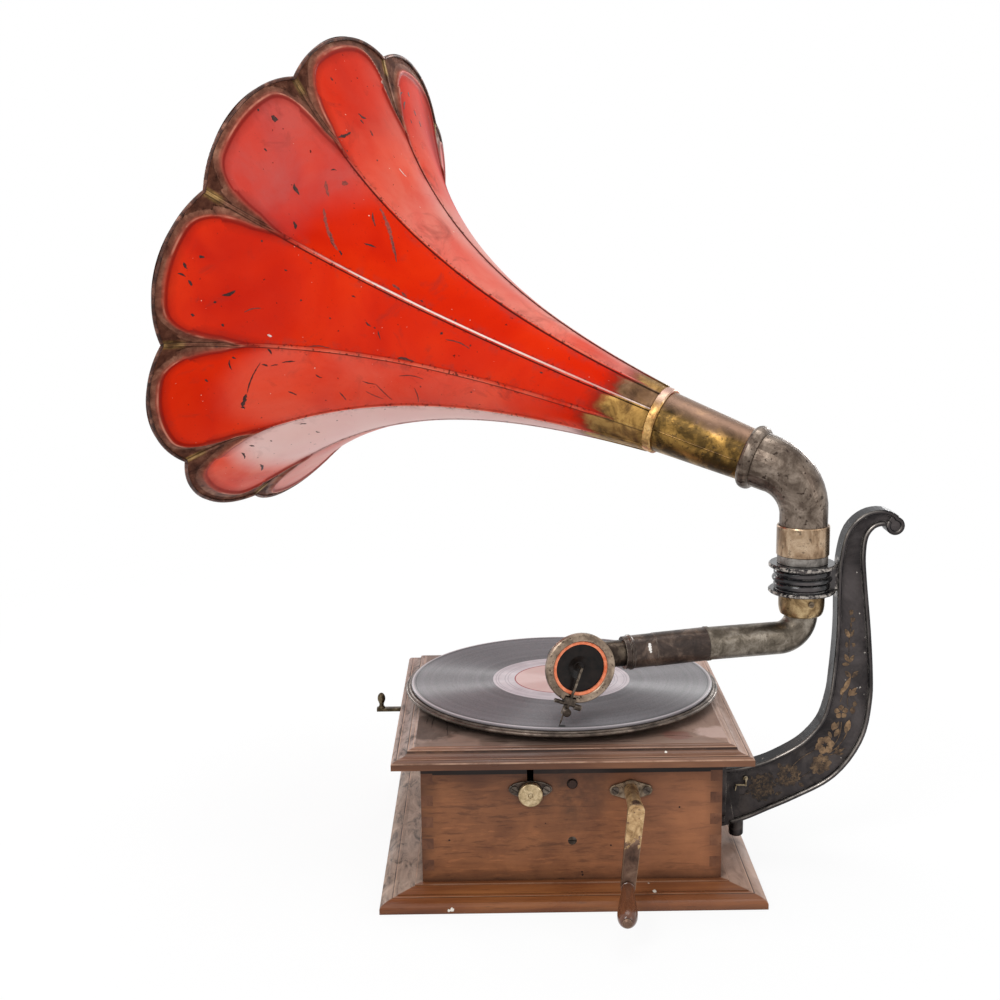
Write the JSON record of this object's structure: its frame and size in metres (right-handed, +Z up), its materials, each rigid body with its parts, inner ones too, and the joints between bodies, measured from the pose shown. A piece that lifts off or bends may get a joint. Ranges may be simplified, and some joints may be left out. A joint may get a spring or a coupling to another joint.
{
  "type": "horn gramophone",
  "caption": "Table gramophone: wooden case with spring motor, turntable with record, cast side bracket, swinging tone arm with soundbox, and petalled sheet metal horn",
  "frame": {"origin": "on the case underside, halfway across it and in the spindle's cross plane, on the table plane", "axes": "+X towards the bracket and horn pivot, -Y towards the crank side, +Z up"},
  "size_m": [0.6046, 0.5905, 0.665],
  "materials": {
    "mahogany": "semi gloss, worn",
    "dark_wood": "dull",
    "handle_wood": "glossy",
    "worn_steel": "pitted and browned",
    "spring_steel": "blued",
    "nickel": "tarnished nickel plate",
    "dark_metal": "dark brown, worn",
    "worn_brass": "tarnished",
    "zinc": "dull grey",
    "platter_iron": "dark, worn edge",
    "record_black": "grooved",
    "black_enamel": "gloss, chipped",
    "gasket_rubber": "matte",
    "dark_disc": "matte",
    "red_enamel": "gloss, scratched"
  },
  "bodies": {
    "case": {"case_front": "mahogany", "case_back": "mahogany", "case_left": "mahogany", "case_right": "mahogany", "base_mouldings": "mahogany", "bottom_board": "dark_wood", "motor_board": "mahogany", "lid_mouldings": "mahogany", "front_plug": "dark_wood", "front_screws": "worn_steel", "regulator_plate": "dark_metal", "crank_plate": "nickel", "brake_pivot": "worn_steel", "wall_plate": "black_enamel", "bracket": "black_enamel", "bracket_screws": "worn_steel", "wire_hook": "worn_brass", "motor_top_plate": "worn_steel", "motor_bottom_plate": "worn_steel", "motor_pillars": "worn_steel"},
    "turntable": {"platter": "platter_iron", "spindle": "nickel", "record": "record_black"},
    "train": {"train_gear": "worn_brass"},
    "barrel": {"spring_barrel": "worn_brass", "mainspring": "spring_steel"},
    "governor_shaft": {"governor": "worn_brass"},
    "crank": {"crank_shaft": "worn_steel", "crank_arm": "worn_steel"},
    "winding": {"winding_gear": "worn_steel"},
    "handle": {"crank_handle": "handle_wood"},
    "regulator": {"regulator_knob": "nickel"},
    "brake": {"brake_lever": "worn_brass"},
    "tonearm_swivel": {"arm_cup": "worn_brass", "cup_screws": "nickel"},
    "tonearm": {"arm_tube": "nickel", "arm_sleeve": "dark_metal"},
    "reproducer": {"arm_crook": "nickel", "soundbox_housing": "nickel", "soundbox_ring": "nickel", "soundbox_gasket": "gasket_rubber", "diaphragm": "dark_disc", "stylus_bar": "worn_steel", "needle": "worn_steel"},
    "needle_clamp": {"needle_screw": "worn_steel"},
    "horn_base": {"horn_elbow": "worn_steel", "brass_ring": "worn_brass", "zinc_ring": "zinc"},
    "horn": {"horn_sleeve": "worn_brass", "throat_band": "worn_brass", "horn_petal_1": "red_enamel", "horn_petal_2": "red_enamel", "horn_petal_3": "red_enamel", "horn_petal_4": "red_enamel", "horn_petal_5": "red_enamel", "horn_petal_6": "red_enamel", "horn_petal_7": "red_enamel", "horn_petal_8": "red_enamel", "horn_petal_9": "red_enamel", "horn_petal_10": "red_enamel"}
  },
  "joints": [
    {"name": "turntable_spin", "type": "hinge", "parent": "case", "child": "turntable", "pos_m": [-0.002, 0, 0.12], "axis": [0, 0, 1], "continuous": true},
    {"name": "train_spin", "type": "hinge", "parent": "case", "child": "train", "pos_m": [-0.00163, 0.034, 0.07], "axis": [0, 0, 1], "continuous": true},
    {"name": "barrel_spin", "type": "hinge", "parent": "case", "child": "barrel", "pos_m": [0.0452, 0.03, 0.06], "axis": [0, 0, 1], "continuous": true},
    {"name": "governor_spin", "type": "hinge", "parent": "case", "child": "governor_shaft", "pos_m": [-0.026, -0.02, 0.0625], "axis": [1, 0, 0], "continuous": true},
    {"name": "crank_turn", "type": "hinge", "parent": "case", "child": "crank", "pos_m": [0.0452, -0.14, 0.0846], "axis": [0, 1, 0], "continuous": true},
    {"name": "winding_spin", "type": "hinge", "parent": "case", "child": "winding", "pos_m": [0.0452, 0.03, 0.075], "axis": [0, 0, 1], "continuous": true},
    {"name": "crank_handle_spin", "type": "hinge", "parent": "crank", "child": "handle", "pos_m": [0.03945, -0.165, 0.02488], "axis": [-0.0958, -0.9954, 0], "continuous": true},
    {"name": "regulator_turn", "type": "hinge", "parent": "case", "child": "regulator", "pos_m": [-0.0315, -0.13, 0.0836], "axis": [0, -1, 0], "range_deg": [-135, 135]},
    {"name": "brake_swing", "type": "hinge", "parent": "case", "child": "brake", "pos_m": [-0.084, 0.01, 0.106], "axis": [0, 0, 1], "range_deg": [0, 6]},
    {"name": "tonearm_swing", "type": "hinge", "parent": "case", "child": "tonearm_swivel", "pos_m": [0.1874, -0.048, 0.215], "axis": [0, 0, 1], "range_deg": [-20, 25]},
    {"name": "tonearm_lift", "type": "hinge", "parent": "tonearm_swivel", "child": "tonearm", "pos_m": [0.1874, -0.048, 0.2127], "axis": [-0.225, 0.9744, 0], "range_deg": [0, 11]},
    {"name": "crook_turn", "type": "hinge", "parent": "tonearm", "child": "reproducer", "pos_m": [0.05491, -0.07859, 0.18067], "axis": [-0.9739, -0.2249, -0.0297], "range_deg": [0, 100]},
    {"name": "needle_screw_turn", "type": "hinge", "parent": "reproducer", "child": "needle_clamp", "pos_m": [-0.00475, -0.11843, 0.14663], "axis": [0.225, -0.9744, 0], "range_deg": [-180, 180]},
    {"name": "horn_swivel", "type": "hinge", "parent": "case", "child": "horn_base", "pos_m": [0.1874, -0.048, 0.25], "axis": [0, 0, 1], "continuous": true},
    {"name": "horn_pull", "type": "slide", "parent": "horn_base", "child": "horn", "axis": [-0.841, 0.4471, 0.3047], "range_m": [0, 0.022]}
  ],
  "couplings": [
    {"joint": "train_spin", "follows": "turntable_spin", "ratio": -0.21429},
    {"joint": "barrel_spin", "follows": "turntable_spin", "ratio": 0.0375},
    {"joint": "governor_spin", "follows": "turntable_spin", "ratio": 10},
    {"joint": "winding_spin", "follows": "crank_turn", "ratio": -0.5}
  ]
}
